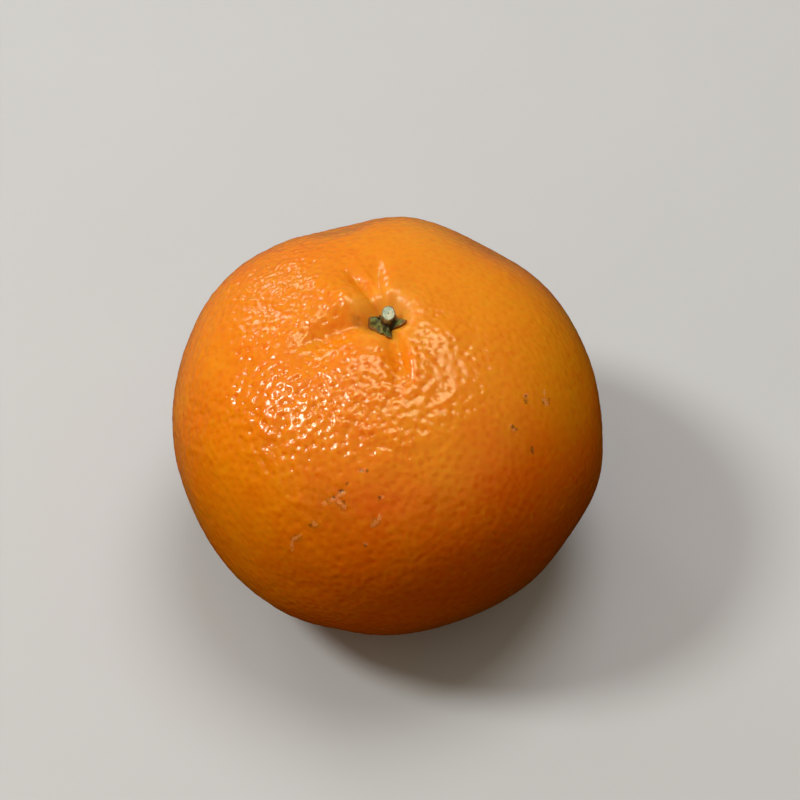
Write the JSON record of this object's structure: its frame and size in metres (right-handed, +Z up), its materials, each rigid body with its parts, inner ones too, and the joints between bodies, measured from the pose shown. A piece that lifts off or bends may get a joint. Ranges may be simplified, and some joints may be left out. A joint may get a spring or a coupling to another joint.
{
  "type": "mandarin",
  "caption": "Whole fresh mandarin, a squat round citrus fruit with puffy furrowed shoulders, pitted orange peel, a small green calyx and a short cut stem stub.",
  "frame": {"origin": "on the resting surface, under the middle of the fruit's outline", "axes": "+Z up from the blossom end to the stem, -Y towards the side with the deep front furrow"},
  "size_m": [0.0646, 0.0644, 0.0521],
  "materials": {
    "peel": "glossy waxy orange citrus peel with pits",
    "calyx": "dry matte dark green sepals with brown tips",
    "stem": "matte green-brown bark with a pale cut end"
  },
  "bodies": {
    "root": {"fruit": "peel", "calyx": "calyx", "stem": "stem"}
  },
  "joints": []
}
